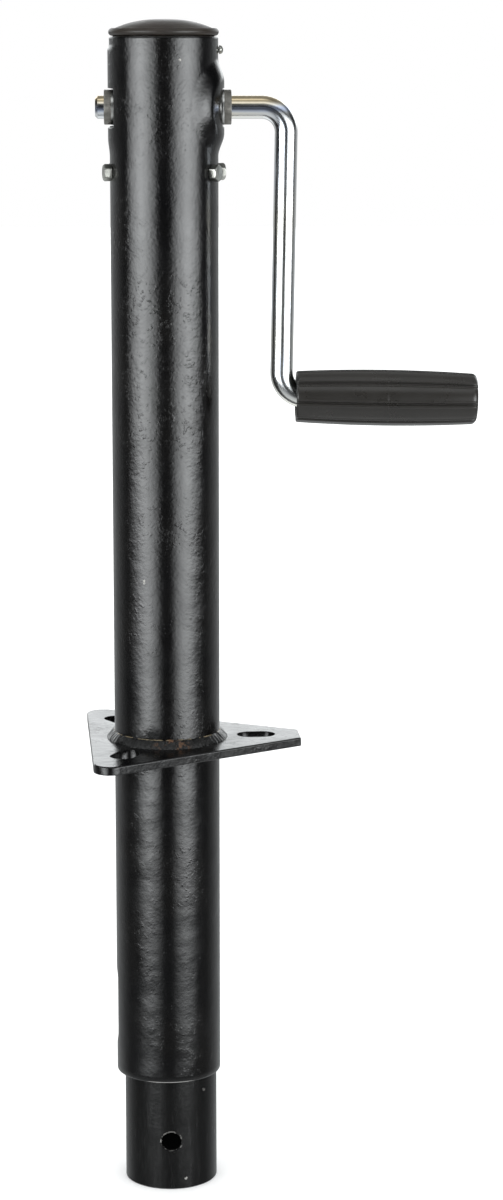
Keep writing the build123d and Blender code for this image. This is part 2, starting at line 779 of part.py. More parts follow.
os.makedirs("parts", exist_ok=True)
for name, piece in pieces.items():
    piece.label = name
    export_step(piece, f"parts/{name}.step")
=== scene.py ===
import json
import math

import bpy
import numpy as np
from mathutils import Matrix, Vector, noise

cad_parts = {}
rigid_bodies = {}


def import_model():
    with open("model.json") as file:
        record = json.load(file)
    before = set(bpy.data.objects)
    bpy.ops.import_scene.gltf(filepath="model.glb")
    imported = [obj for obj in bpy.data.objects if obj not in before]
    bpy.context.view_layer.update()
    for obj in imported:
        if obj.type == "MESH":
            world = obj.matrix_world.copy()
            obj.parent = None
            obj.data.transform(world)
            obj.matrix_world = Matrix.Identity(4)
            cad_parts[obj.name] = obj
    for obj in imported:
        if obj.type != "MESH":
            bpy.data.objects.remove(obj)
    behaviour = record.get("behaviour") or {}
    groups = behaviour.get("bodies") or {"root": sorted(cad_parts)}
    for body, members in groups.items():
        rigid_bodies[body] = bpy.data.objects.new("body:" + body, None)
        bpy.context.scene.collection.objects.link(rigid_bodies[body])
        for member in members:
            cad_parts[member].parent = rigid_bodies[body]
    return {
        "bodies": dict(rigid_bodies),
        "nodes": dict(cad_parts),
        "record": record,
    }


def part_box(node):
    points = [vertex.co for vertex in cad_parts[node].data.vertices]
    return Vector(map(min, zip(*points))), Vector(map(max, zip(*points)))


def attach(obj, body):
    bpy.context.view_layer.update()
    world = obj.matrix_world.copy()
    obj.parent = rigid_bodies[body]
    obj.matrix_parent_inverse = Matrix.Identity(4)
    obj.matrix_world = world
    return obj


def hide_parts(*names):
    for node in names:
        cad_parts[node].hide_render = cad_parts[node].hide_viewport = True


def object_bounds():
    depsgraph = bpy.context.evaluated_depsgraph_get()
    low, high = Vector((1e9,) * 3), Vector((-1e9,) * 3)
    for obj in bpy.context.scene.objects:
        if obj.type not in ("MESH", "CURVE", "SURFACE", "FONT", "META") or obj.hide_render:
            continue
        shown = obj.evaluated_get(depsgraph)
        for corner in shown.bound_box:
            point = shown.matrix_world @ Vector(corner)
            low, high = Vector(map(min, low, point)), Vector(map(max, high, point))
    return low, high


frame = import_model()
cad_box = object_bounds()
nodes = frame["nodes"]

# Trailer tongue jack. Lengths below are in metres, and MM turns millimetres into metres.
# Pieces with a cast, welded, bent or moulded surface are meshed here in place of their CAD nodes.
# The others keep their CAD shape and get a better finish.
MM = 0.001

# ---------------------------------------------------------------- sizes

tube_low, tube_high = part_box("outer_tube")
tube_r = tube_high.y
tube_bottom = tube_low.z
tube_top = tube_high.z
tube_wall = 1.9 * MM
tube_edge = 0.6 * MM

right_bushing_low, right_bushing_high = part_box("right_bushing")
crank_z = (right_bushing_low.z + right_bushing_high.z) / 2
right_flat_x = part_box("right_washer")[0].x
left_flat_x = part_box("left_washer")[1].x
flat_half = 9.4 * MM
flat_blend = 0.5 * MM
flat_reach_angle = 1.2  # radians

bulge_depth = tube_high.x - tube_r
bulge_core_angle = math.radians(9)
bulge_reach_angle = math.radians(51)
bulge_reach = 25.5 * MM
bulge_crest = 0.53

swell_depth = 0.85 * MM
swell_top = 375 * MM
swell_top_fade = 3 * MM
swell_bottom = 317 * MM
swell_bottom_fade = 10 * MM
swell_core_angle = math.radians(5)
swell_fade_angle = math.radians(38)

crimp_z = -147.3 * MM
crimp_length = 30 * MM
crimp_r = 8 * MM
crimp_depth = 3 * MM
crimp_soften = 0.7 * MM
crimp_rows_reach = 26 * MM

plate_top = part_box("mounting_plate")[1].z
weld_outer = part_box("plate_weld")[1].x
weld_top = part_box("plate_weld")[1].z
weld_ripple = 2.6 * MM
weld_ripple_h = 0.3 * MM
weld_sink = 0.3 * MM

cap_bead = 2.0 * MM
cap_gap = 0.4 * MM
cap_skirt_r = 26.5 * MM
cap_dome_power = 2.45
cap_wall = 2.2 * MM

bushing_barrel_r = 8 * MM
bushing_flange_t = 3.75 * MM
bushing_edge = 0.35 * MM
bushing_wear = 0.05 * MM

rod_low, rod_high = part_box("crank_rod")
rod_r = rod_high.y
rod_left_end = rod_low.x
rod_leg_x = 64.4 * MM
rod_right_end = 159.7 * MM
rod_left_chamfer = 1.3 * MM
rod_right_chamfer = 0.8 * MM
crank_throw = 152.4 * MM
crank_lean = math.radians(1.0)
bend_r = 13 * MM
spindle_z = crank_z - crank_throw

grip_start = 72.3 * MM
grip_end = 169 * MM
grip_r_start = 13.6 * MM
grip_r_mid = 14.95 * MM
grip_r_end = 13.4 * MM
grip_round_start = 1.0 * MM
grip_round_end = 3.0 * MM
grip_bore_r = 6.25 * MM
grip_bore_end = rod_right_end + 1.5 * MM
grip_mouth_r = 11.5 * MM
grip_throat_r = 7.5 * MM
grip_mouth_depth = 8 * MM
flute_count = 8
flute_turn = math.radians(7.5)
flute_depth = 0.9 * MM
flute_half = 0.95 * MM
flute_lip_h = 0.24 * MM
flute_lip_at = 1.45 * MM
flute_lip_w = 0.45 * MM
panel_hollow = 0.12 * MM
grip_seam_x = 118 * MM

ram_low, ram_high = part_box("ram_tube")
ram_x = (ram_low.x + ram_high.x) / 2
ram_hole_r = 5.55 * MM
ram_hole_z = -218.8 * MM

screw_z = sum(corner.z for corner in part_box("seat_screws")) / 2
screw_azimuths = [math.radians(a) for a in (-28, 12, 152, 192)]
screw_flats = 7.9 * MM
screw_head_h = 4 * MM
screw_chamfer_h = 0.7 * MM
screw_dish = 0.2 * MM
screw_dish_rim = 1.3 * MM
screw_shank_r = 2.5 * MM
screw_tip_r = 22 * MM

rivet_low, rivet_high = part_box("cap_rivet")
rivet_z = (rivet_low.z + rivet_high.z) / 2
rivet_head_r = (rivet_high.z - rivet_low.z) / 2

# ---------------------------------------------------------------- mesh helpers


def smooth(t):
    """Rises from 0 to 1 as t does, level at both ends."""
    t = np.clip(t, 0, 1)
    return t * t * (3 - 2 * t)


def skin(loops, closed=False, start_point=None, end_point=None):
    """Vertices and faces over equal closed loops of points.

    closed joins the last loop to the first. A start or end point closes that end with a fan.
    """
    loops = [np.asarray(loop, float) for loop in loops]
    size = len(loops[0])
    points = [tuple(p) for loop in loops for p in loop]
    faces = []
    count = len(loops)
    for i in range(count if closed else count - 1):
        a = i * size
        b = (i + 1) % count * size
        for j in range(size):
            k = (j + 1) % size
            faces.append((a + j, a + k, b + k, b + j))
    for point, base, flip in ((start_point, 0, True), (end_point, (count - 1) * size, False)):
        if point is None:
            continue
        points.append(tuple(point))
        tip = len(points) - 1
        for j in range(size):
            k = (j + 1) % size
            ends = (base + k, base + j) if flip else (base + j, base + k)
            faces.append((*ends, tip))
    return points, faces


def piece(name, points, faces, finish, body, stands_for=(), sharp=35):
    """A mesh object that rides on a CAD body and stands for CAD nodes."""
    mesh = bpy.data.meshes.new(name)
    mesh.from_pydata(points, [], faces)
    mesh.validate()
    mesh.update()
    mesh.polygons.foreach_set("use_smooth", [True] * len(mesh.polygons))
    mesh.set_sharp_from_angle(angle=math.radians(sharp))
    mesh.materials.append(finish)
    made = bpy.data.objects.new(name, mesh)
    bpy.context.scene.collection.objects.link(made)
    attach(made, body)
    if stands_for:
        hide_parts(*stands_for)
    return made


def circle(count):
    """Angles of evenly spaced points round a circle."""
    return np.linspace(0, 2 * math.pi, count, endpoint=False)


def turned(profile, place, count):
    """Loops about an axis: profile is (along, radius) pairs, place a matrix whose Z is the axis.

    A radius is one number, or count of them for a shape that isn't round.
    """
    angles = circle(count)
    loops = []
    for along, radius in profile:
        level = [radius * np.cos(angles), radius * np.sin(angles), np.full(count, along), np.ones(count)]
        loops.append((np.array(place) @ np.stack(level))[:3].T)
    return loops


def along_x(z):
    """A place on the tube's axis whose Z axis is the model's +X axis."""
    return Matrix.Translation((0, 0, z)) @ Matrix.Rotation(math.pi / 2, 4, "Y")


def pointing_out(azimuth, z):
    """A place on the tube's axis whose Z axis points outward at that azimuth."""
    return (
        Matrix.Translation((0, 0, z))
        @ Matrix.Rotation(azimuth, 4, "Z")
        @ Matrix.Rotation(math.pi / 2, 4, "Y")
    )


def grain(point, scale, seed=0.0):
    """Smooth noise from -1 to 1 at a point."""
    return noise.noise(Vector(point) * scale + Vector((seed, seed, seed)))


# ---------------------------------------------------------------- finishes


class Finish:
    """A principled material, and short calls that add procedural nodes to it."""

    def __init__(self, name, color, roughness, metallic=0.0, uv=None):
        self.material = bpy.data.materials.new(name)
        self.material.use_nodes = True
        self.tree = self.material.node_tree
        self.shader = self.tree.nodes["Principled BSDF"]
        self.shader.inputs["Base Color"].default_value = (*color, 1)
        self.shader.inputs["Roughness"].default_value = roughness
        self.shader.inputs["Metallic"].default_value = metallic
        if uv:
            source = self.tree.nodes.new("ShaderNodeUVMap")
            source.uv_map = uv
        self.solid = self.tree.nodes.new("ShaderNodeTexCoord").outputs["Object"]
        self.place = source.outputs["UV"] if uv else self.solid

    def put(self, socket, value):
        """Sets a socket to a number or links it to another socket."""
        if isinstance(value, bpy.types.NodeSocket):
            self.tree.links.new(value, socket)
        else:
            socket.default_value = value

    def stretched(self, scale):
        """The place, scaled by (x, y, z)."""
        node = self.tree.nodes.new("ShaderNodeMapping")
        self.tree.links.new(self.place, node.inputs["Vector"])
        node.inputs["Scale"].default_value = scale
        return node.outputs["Vector"]

    def noise(self, scale, detail, rough=0.5, place=None):
        """Noise from 0 to 1; scale is in cells per metre."""
        node = self.tree.nodes.new("ShaderNodeTexNoise")
        self.tree.links.new(place or self.place, node.inputs["Vector"])
        node.inputs["Scale"].default_value = scale
        node.inputs["Detail"].default_value = detail
        node.inputs["Roughness"].default_value = rough
        return node.outputs["Fac"]

    def cells(self, scale):
        """Distance to the nearest of scattered points, in cells."""
        node = self.tree.nodes.new("ShaderNodeTexVoronoi")
        self.tree.links.new(self.place, node.inputs["Vector"])
        node.inputs["Scale"].default_value = scale
        return node.outputs["Distance"]

    def remap(self, value, low, high, to_low=0.0, to_high=1.0):
        """value taken from low..high to to_low..to_high, clamped."""
        node = self.tree.nodes.new("ShaderNodeMapRange")
        self.put(node.inputs["Value"], value)
        node.inputs["From Min"].default_value = low
        node.inputs["From Max"].default_value = high
        node.inputs["To Min"].default_value = to_low
        node.inputs["To Max"].default_value = to_high
        return node.outputs["Result"]

    def math(self, kind, a, b=0.0):
        """One arithmetic step."""
        node = self.tree.nodes.new("ShaderNodeMath")
        node.operation = kind
        self.put(node.inputs[0], a)
        self.put(node.inputs[1], b)
        return node.outputs["Value"]

    def mix(self, share, a, b):
        """Colour a where share is 0 and b where it is 1."""
        node = self.tree.nodes.new("ShaderNodeMix")
        node.data_type = "RGBA"
        self.put(node.inputs["Factor"], share)
        for socket, value in ((node.inputs["A"], a), (node.inputs["B"], b)):
            self.put(socket, value if isinstance(value, bpy.types.NodeSocket) else (*value, 1))
        return node.outputs["Result"]

    def near(self, centre, radius, fade):
        """1 within radius of a point, falling to 0 over fade."""
        node = self.tree.nodes.new("ShaderNodeVectorMath")
        node.operation = "DISTANCE"
        self.tree.links.new(self.solid, node.inputs[0])
        node.inputs[1].default_value = centre
        return self.remap(node.outputs["Value"], radius, radius + fade, 1.0, 0.0)

    def coordinate(self, axis):
        """One coordinate of the model."""
        node = self.tree.nodes.new("ShaderNodeSeparateXYZ")
        self.tree.links.new(self.solid, node.inputs["Vector"])
        return node.outputs[axis]

    def bump(self, height, distance):
        """Adds a bump of that depth in metres over the ones before it."""
        node = self.tree.nodes.new("ShaderNodeBump")
        node.inputs["Distance"].default_value = distance
        self.tree.links.new(height, node.inputs["Height"])
        normal = self.shader.inputs["Normal"]
        if normal.is_linked:
            self.tree.links.new(normal.links[0].from_socket, node.inputs["Normal"])
        self.tree.links.new(node.outputs["Normal"], normal)

    def use(self, **sockets):
        """Sets or links the shader's color, roughness or metallic."""
        names = {
            "color": "Base Color",
            "roughness": "Roughness",
            "metallic": "Metallic",
        }
        for key, value in sockets.items():
            self.put(self.shader.inputs[names[key]], value)


def paint_surface(finish, waviness, peel, pits):
    """Adds the relief of sprayed enamel: slow waves, orange peel and small pits."""
    upper = finish.remap(finish.coordinate("Z"), -100 * MM, 300 * MM, 0.4, 1.0)
    finish.bump(finish.noise(55, 2), waviness)
    finish.bump(finish.math("MULTIPLY", finish.noise(560, 2), upper), peel)
    blisters = finish.remap(finish.noise(330, 3, 0.6), 0.56, 0.68)
    patches = finish.math("MULTIPLY", finish.remap(finish.noise(28, 2), 0.4, 0.6), upper)
    finish.bump(finish.math("MULTIPLY", blisters, patches), pits)
    dots = finish.remap(finish.cells(420), 0.08, 0.20)
    sparse = finish.remap(finish.noise(120, 1), 0.60, 0.66)
    finish.bump(finish.math("MAXIMUM", dots, finish.math("SUBTRACT", 1.0, sparse)), 0.5 * pits)


def chip_mask(finish, chips):
    """1 on small chips, each a point and a radius in millimetres."""
    mask = 0.0
    for x, y, z, radius in chips:
        spot = finish.near((x * MM, y * MM, z * MM), radius * MM, 0.4 * MM)
        mask = finish.math("MAXIMUM", spot, mask)
    ragged = finish.remap(finish.noise(900, 3), 0.40, 0.52)
    return finish.math("MULTIPLY", mask, ragged)


def gloss_paint():
    """Glossy black enamel over tube, plate and weld."""
    finish = Finish("gloss_black_paint", (0.003, 0.003, 0.0033), 0.2)
    shade = finish.remap(finish.noise(28, 3), 0.35, 0.65)
    paint = finish.mix(shade, (0.0016, 0.0016, 0.0019), (0.0036, 0.0033, 0.0031))
    worn_edge = finish.remap(finish.coordinate("Z"), tube_bottom + 0.8 * MM, tube_bottom + 0.4 * MM)
    front = finish.near((1 * MM, -tube_r, tube_bottom), 7 * MM, 7 * MM)
    patchy = finish.remap(finish.noise(160, 3), 0.36, 0.48)
    bare = finish.math("MULTIPLY", finish.math("MULTIPLY", worn_edge, front), patchy)
    chips = chip_mask(
        finish,
        [(-11.9, -26.0, 94.1, 0.5), (-11.8, -26.0, 95.2, 0.4), (8.4, -27.3, 367.1, 0.5)],
    )
    worn_paint = finish.mix(bare, paint, (0.55, 0.54, 0.52))
    finish.use(
        color=finish.mix(chips, worn_paint, (0.24, 0.23, 0.21)),
        roughness=finish.remap(finish.noise(40, 4, 0.6), 0.3, 0.7, 0.14, 0.25),
        metallic=bare,
    )
    paint_surface(finish, 0.35 * MM, 0.10 * MM, 0.10 * MM)
    return finish.material


def weld_paint():
    """The same enamel where it is burnt thin over the weld, with rust coming through."""
    finish = Finish("weld_black_paint", (0.006, 0.006, 0.006), 0.3)
    front = finish.near((3 * MM, -33 * MM, plate_top + 1 * MM), 3 * MM, 9 * MM)
    blotch = finish.remap(finish.noise(330, 4, 0.65), 0.50, 0.60)
    rust = finish.math("MULTIPLY", front, blotch)
    tone = finish.mix(finish.noise(600, 3), (0.03, 0.014, 0.006), (0.17, 0.075, 0.028))
    toe_offset = finish.math("SUBTRACT", finish.coordinate("Z"), weld_top - 0.3 * MM)
    toe_line = finish.remap(finish.math("ABSOLUTE", toe_offset), 0.25 * MM, 0.1 * MM)
    toe = finish.math("MULTIPLY", toe_line, finish.remap(finish.noise(220, 2), 0.45, 0.55))
    burnt = finish.mix(toe, (0.003, 0.003, 0.003), (0.16, 0.13, 0.08))
    finish.use(
        color=finish.mix(rust, burnt, tone),
        roughness=finish.remap(rust, 0, 1, 0.24, 0.7),
    )
    finish.bump(finish.noise(300, 3), 0.25 * MM)
    finish.bump(finish.noise(1200, 2), 0.05 * MM)
    return finish.material


def satin_paint():
    """Thin satin black on the ram, scuffed, with bare metal at the cross hole and painted shade inside
    the tube.
    """
    finish = Finish("satin_black_paint", (0.006, 0.006, 0.006), 0.42)
    scuffs = finish.remap(finish.noise(300, 4, 0.7, finish.stretched((1, 1, 0.15))), 0.5, 0.75)
    hole = finish.near((ram_x, -ram_high.y, ram_hole_z), ram_hole_r + 0.2 * MM, 0.6 * MM)
    chipped = finish.math("MULTIPLY", hole, finish.remap(finish.noise(420, 3), 0.50, 0.60))
    across = finish.math("SUBTRACT", finish.coordinate("X"), ram_x)
    depth = finish.coordinate("Y")
    squares = [finish.math("MULTIPLY", value, value) for value in (across, depth)]
    from_axis = finish.math("SQRT", finish.math("ADD", *squares))
    # Painted shade: the inside of the hollow ram is coloured near black and made fully rough.
    inside_painted_shade = finish.remap(from_axis, ram_high.y - 0.9 * MM, ram_high.y - 0.4 * MM, 1.0, 0.0)
    chips = chip_mask(finish, [(19.2, -17.7, -191.0, 0.7), (9.1, -24.0, -240.2, 0.6)])
    chipped = finish.math("MAXIMUM", chipped, chips)
    outside = finish.mix(scuffs, (0.005, 0.005, 0.005), (0.009, 0.009, 0.009))
    paint = finish.mix(inside_painted_shade, outside, (0.001, 0.001, 0.001))
    finish.use(
        color=finish.mix(chipped, paint, (0.4, 0.39, 0.37)),
        roughness=finish.math("MAXIMUM", finish.remap(scuffs, 0, 1, 0.22, 0.32), inside_painted_shade),
        metallic=chipped,
    )
    finish.shader.inputs["Specular IOR Level"].default_value = 0.25
    finish.bump(finish.noise(700, 3), 0.05 * MM)
    finish.bump(finish.noise(60, 2), 0.15 * MM)
    return finish.material


def cap_plastic():
    """Satin moulded plastic, faintly brown."""
    finish = Finish("cap_black_plastic", (0.008, 0.006, 0.005), 0.42)
    tone = finish.remap(finish.noise(35, 3), 0.3, 0.7)
    finish.use(
        color=finish.mix(tone, (0.014, 0.0105, 0.0078), (0.024, 0.018, 0.013)),
        roughness=finish.remap(finish.noise(90, 4, 0.6), 0.3, 0.7, 0.34, 0.48),
    )
    finish.bump(finish.noise(1500, 2), 0.02 * MM)
    finish.bump(finish.noise(45, 1), 0.1 * MM)
    return finish.material


def grip_plastic():
    """Moulded black plastic with a fine grain and a faint parting line at mid length."""
    finish = Finish("grip_black_plastic", (0.008, 0.0077, 0.0075), 0.4)
    finish.use(
        color=finish.mix(finish.noise(50, 3), (0.0125, 0.0114, 0.0102), (0.0195, 0.0178, 0.0158)),
        roughness=finish.remap(finish.noise(70, 4, 0.6), 0.3, 0.7, 0.24, 0.36),
    )
    finish.bump(finish.noise(1500, 2), 0.03 * MM)
    from_seam = finish.math("SUBTRACT", finish.coordinate("X"), grip_seam_x)
    seam = finish.remap(finish.math("ABSOLUTE", from_seam), 0.5 * MM, 0.1 * MM)
    finish.bump(seam, 0.05 * MM)
    return finish.material


def zinc_bar_with_painted_reflections():
    """Bright zinc plate on drawn bar: random yellow and blue tints, fine lines, painted gold and navy
    reflections.
    """
    finish = Finish("zinc_plated_bar_with_painted_reflections", (0.76, 0.77, 0.78), 0.2, metallic=1.0, uv="along_bar")
    streaks = finish.noise(1.0, 3, 0.6, finish.stretched((25, 900, 1)))
    patches = finish.noise(1.0, 2, 0.5, finish.stretched((18, 60, 1)))
    tint = finish.mix(finish.remap(patches, 0.35, 0.65), (0.80, 0.75, 0.62), (0.66, 0.72, 0.82))
    plain = finish.mix(finish.remap(streaks, 0.25, 0.75), tint, (0.82, 0.83, 0.84))
    # Painted reflection: gold over the bar's top side and a navy band just below its axis, set by
    # height.
    upper = finish.remap(finish.coordinate("Z"), crank_z + 0.5 * MM, crank_z + 3.5 * MM)
    painted_gold_reflection = finish.mix(finish.math("MULTIPLY", upper, 0.75), plain, (0.72, 0.55, 0.28))
    from_middle = finish.math("SUBTRACT", finish.coordinate("Z"), crank_z - 0.8 * MM)
    painted_navy_reflection = finish.remap(finish.math("ABSOLUTE", from_middle), 0.6 * MM, 2.2 * MM, 0.7, 0.0)
    finish.use(
        color=finish.mix(painted_navy_reflection, painted_gold_reflection, (0.42, 0.50, 0.72)),
        roughness=finish.remap(streaks, 0.3, 0.7, 0.13, 0.27),
    )
    finish.bump(streaks, 0.02 * MM)
    finish.bump(finish.noise(1.0, 3, 0.6, finish.stretched((140, 140, 1))), 0.05 * MM)
    return finish.material


def metal(name, dark, light, rough_low, rough_high, grain_scale, grain_depth, metallic=1.0):
    """A bare or plated metal whose colour, gloss and grain vary."""
    finish = Finish(name, light, rough_high, metallic=metallic)
    finish.use(
        color=finish.mix(finish.remap(finish.noise(grain_scale / 6, 4, 0.6), 0.3, 0.7), dark, light),
        roughness=finish.remap(finish.noise(grain_scale / 3, 3), 0.3, 0.7, rough_low, rough_high),
    )
    finish.bump(finish.noise(grain_scale, 3), grain_depth)
    return finish.material


finishes = {
    "black_gloss_paint": gloss_paint(),
    "black_satin_paint": satin_paint(),
    "cap_plastic": cap_plastic(),
    "grip_plastic": grip_plastic(),
    "zinc_plate": zinc_bar_with_painted_reflections(),
    "zinc_fasteners": metal(
        "zinc_plated_fastener", (0.26, 0.26, 0.24), (0.46, 0.46, 0.43), 0.28, 0.45, 1100, 0.06 * MM
    ),
    "bright_washers": metal(
        "zinc_plated_washer", (0.60, 0.60, 0.58), (0.80, 0.80, 0.78), 0.25, 0.42, 1100, 0.03 * MM
    ),
    "sintered_iron": metal(
        "sintered_iron", (0.14, 0.135, 0.122), (0.28, 0.27, 0.248), 0.45, 0.65, 2200, 0.10 * MM, 0.85
    ),
    "gear_steel": metal(
        "greased_gear_steel", (0.16, 0.15, 0.13), (0.34, 0.33, 0.31), 0.28, 0.5, 1500, 0.05 * MM
    ),
    "plain_steel": metal(
        "plain_steel", (0.34, 0.33, 0.31), (0.52, 0.51, 0.50), 0.22, 0.42, 1200, 0.03 * MM
    ),
    "hardened_steel": metal(
        "hardened_steel", (0.50, 0.50, 0.51), (0.66, 0.66, 0.67), 0.12, 0.25, 1800, 0.01 * MM
    ),
    "cage_brass": metal(
        "cage_brass", (0.55, 0.38, 0.16), (0.74, 0.55, 0.27), 0.2, 0.35, 1500, 0.02 * MM
    ),
}

slot_of = {part["node"]: part["material_slot"] for part in frame["record"]["subparts"]}
for node_name, node in nodes.items():
    node.data.materials.clear()
    node.data.materials.append(finishes[slot_of[node_name]])
for node_name in ("right_washer", "left_washer"):
    nodes[node_name].data.materials[0] = finishes["bright_washers"]

# ---------------------------------------------------------------- outer tube


def tube_outline(angles, z):
    """Outer radius of the tube at each angle, at height z."""
    radius = np.full(len(angles), tube_r)
    from_right = np.abs((angles + math.pi) % (2 * math.pi) - math.pi)
    from_left = math.pi - from_right
    across = np.maximum(from_right - bulge_core_angle, 0) / bulge_reach_angle
    up = abs(z - crank_z) / bulge_reach
    away_share = (np.hypot(across, up) - bulge_crest) / (1 - bulge_crest)
    radius += bulge_depth * (1 - smooth(away_share))
    below_top = smooth((swell_top - z) / swell_top_fade)
    above_bottom = smooth((z - swell_bottom) / swell_bottom_fade)
    side_share = 1 - smooth((from_left - swell_core_angle) / swell_fade_angle)
    radius += swell_depth * below_top * above_bottom * side_share
    flat_share = 1 - smooth((abs(z - crank_z) - flat_half) / flat_blend)
    for flat, away in ((right_flat_x, from_right), (-left_flat_x, from_left)):
        near = away < flat_reach_angle
        facing = np.where(near, np.cos(away), math.cos(flat_reach_angle))
        pressed = np.minimum(radius, np.where(near, flat / facing, radius))
        radius += flat_share * (pressed - radius)
    past_half = max(abs(z - crimp_z) - crimp_length / 2, 0)
    if past_half < crimp_r:
        slice_r = math.sqrt(crimp_r**2 - past_half**2)
        centre = tube_r + crimp_r - crimp_depth
        side = np.sin(from_left) * centre
        inside = (np.abs(side) < slice_r) & (from_left < 1)
        reach = np.sqrt(np.maximum(slice_r**2 - side**2, 0))
        dent = np.where(inside, centre * np.cos(from_left) - reach, radius)
        overlap = np.maximum(crimp_soften - np.abs(dent - radius), 0) / crimp_soften
        softened = np.minimum(radius, dent) - overlap**2 * crimp_soften / 4
        radius = np.where(inside, softened, radius)
    return radius


def tube_heights():
    """Heights of the tube's rows: close together at the crimp and at the bulge."""
    crimp_low = crimp_z - crimp_rows_reach
    crimp_high = crimp_z + crimp_rows_reach
    bulge_low = swell_bottom - 4 * MM
    flat_end = flat_half + flat_blend
    parts = [
        np.arange(tube_bottom + tube_edge, crimp_low, 3 * MM),
        np.arange(crimp_low, crimp_high, 0.9 * MM),
        np.arange(crimp_high, bulge_low, 5 * MM),
        np.arange(bulge_low, tube_top - 1.0 * MM, 0.8 * MM),
        crank_z + np.array([-flat_end, -flat_half, flat_half, flat_end]),
    ]
    heights = np.unique(np.round(np.concatenate(parts), 6))
    keep = np.append(np.diff(heights) > 0.25 * MM, True)
    return heights[keep]


def make_outer_tube():
    """The tube with its bulge, flats, crimp and soft ends, open at both ends."""
    angles = circle(288)
    direction = np.stack([np.cos(angles), np.sin(angles)], axis=1)

    def loop(radius, z):
        return np.column_stack([direction * np.reshape(radius, (-1, 1)), np.full(len(angles), z)])

    outside = []
    inside = []
    for z in tube_heights():
        radius = tube_outline(angles, z)
        outside.append(loop(radius, z))
        inside.append(loop(radius - tube_wall, z))
    full = np.full(len(angles), tube_r)
    lip = [
        loop(full - tube_wall, tube_bottom),
        loop(full - tube_edge, tube_bottom),
        loop(full - 0.3 * tube_edge, tube_bottom + 0.3 * tube_edge),
    ]
    rim = [
        loop(full, tube_top - 0.5 * MM),
        loop(full - 0.15 * MM, tube_top - 0.15 * MM),
        loop(full - 0.5 * MM, tube_top),
        loop(full - tube_wall, tube_top),
    ]
    points, faces = skin(lip + outside + rim + inside[::-1], closed=True)
    return piece(
        "outer_tube_shell",
        points,
        faces,
        finishes["black_gloss_paint"],
        "housing",
        ["outer_tube"],
        sharp=50,
    )


# ---------------------------------------------------------------- weld


def make_weld():
    """A ring of overlapping weld ripples between plate and tube, a little uneven."""
    leg = weld_outer - tube_r
    inner_r = tube_r - weld_sink
    base_z = plate_top - weld_sink
    loops = []
    for angle in circle(540):
        out = np.array([math.cos(angle), math.sin(angle)])
        spot = (out[0] * 3, out[1] * 3, 0)
        size = leg * (0.92 + 0.10 * grain(spot, 2.2, 5) + 0.05 * grain(spot, 9, 9))
        rise = leg * (0.94 + 0.12 * grain(spot, 3.1, 21))
        section = [(inner_r, base_z), (tube_r + size, base_z)]
        for share in np.linspace(0, 1, 11):
            turn = share * math.pi / 2
            belly = 0.03 * math.sin(2 * turn)
            r = tube_r + size * (math.cos(turn) ** 1.9 + belly)
            z = plate_top + rise * (math.sin(turn) ** 1.9 + belly)
            phase = angle * tube_r / weld_ripple + 0.55 * math.sin(turn * 2)
            tooth = (phase % 1.0) ** 0.7
            lift = weld_ripple_h * (tooth - 0.6) * math.sin(2 * turn) ** 0.6
            section.append((r + lift * math.cos(turn), z + lift * math.sin(turn)))
        section.append((inner_r, section[-1][1]))
        loops.append([(out[0] * r, out[1] * r, z) for r, z in section])
    points, faces = skin(loops, closed=True)
    return piece(
        "plate_weld_bead",
        points,
        faces,
        weld_paint(),
        "housing",
        ["plate_weld"],
        sharp=70,
    )


# ---------------------------------------------------------------- cap and rivet


def make_cap():
    """The domed cap with its bead and its skirt, hollow underneath."""
    low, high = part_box("top_cap")
    bead = cap_bead
    rim_r = high.x
    rim_bottom = tube_top + cap_gap
    shoulder_r = rim_r - bead - 1.1 * MM
    shoulder_z = rim_bottom + 2 * bead - 0.15 * MM
    inside_r = cap_skirt_r - cap_wall
    dome_h = high.z - shoulder_z
    under_z = shoulder_z + 0.5 * dome_h
    profile = []
    for k in range(1, 25):
        share = k / 24
        profile.append((shoulder_z + dome_h * (1 - share**cap_dome_power), shoulder_r * share))
    for degrees in np.linspace(129.5, -91, 10):
        turn = math.radians(degrees)
        height = rim_bottom + bead + bead * math.sin(turn)
        profile.append((height, rim_r - bead + bead * math.cos(turn)))
    profile += [
        (rim_bottom, rim_r - bead - 0.1 * MM),
        (rim_bottom - 0.2 * MM, cap_skirt_r),
        (low.z + 0.8 * MM, cap_skirt_r),
        (low.z, cap_skirt_r - 0.8 * MM),
        (low.z, inside_r),
        (rim_bottom + 0.5 * MM, inside_r),
        (shoulder_z + 0.3 * MM, cap_skirt_r - 4 * cap_wall),
        (under_z, 3 * MM),
    ]
    loops = turned(profile, Matrix.Identity(4), 192)
    points, faces = skin(loops[::-1], start_point=(0, 0, under_z), end_point=(0, 0, high.z))
    return piece(
        "domed_cap",
        points,
        faces,
        finishes["cap_plastic"],
        "housing",
        ["top_cap"],
        sharp=40,
    )


def make_rivet():
    """A blind rivet: round head with the end of its mandrel in it."""
    head = rivet_high.x
    foot = head - 2.2 * MM
    shank_r = 1.6 * MM
    chamfer = 0.3 * MM
    profile = [(rivet_low.x, shank_r - chamfer), (rivet_low.x + chamfer, shank_r), (foot, shank_r)]
    profile += [(foot, rivet_head_r - 0.15 * MM), (foot + 0.15 * MM, rivet_head_r)]
    for k in range(1, 9):
        turn = math.radians(10 * k)
        profile.append((foot + 2.1 * MM * math.sin(turn), rivet_head_r * math.cos(turn) ** 0.7))
    mandrel = head - 0.6 * MM
    profile += [(head - 0.1 * MM, 0.75 * MM), (mandrel, 0.7 * MM), (mandrel, 0.3 * MM)]
    place = along_x(rivet_z)
    loops = turned(profile, place, 48)
    ends = [place @ Vector((0, 0, along)) for along in (rivet_low.x, head - 0.55 * MM)]
    points, faces = skin(loops, start_point=ends[0], end_point=ends[1])
    return piece(
        "cap_blind_rivet",
        points,
        faces,
        finishes["zinc_fasteners"],
        "housing",
        ["cap_rivet"],
    )


# ---------------------------------------------------------------- bushings and screws


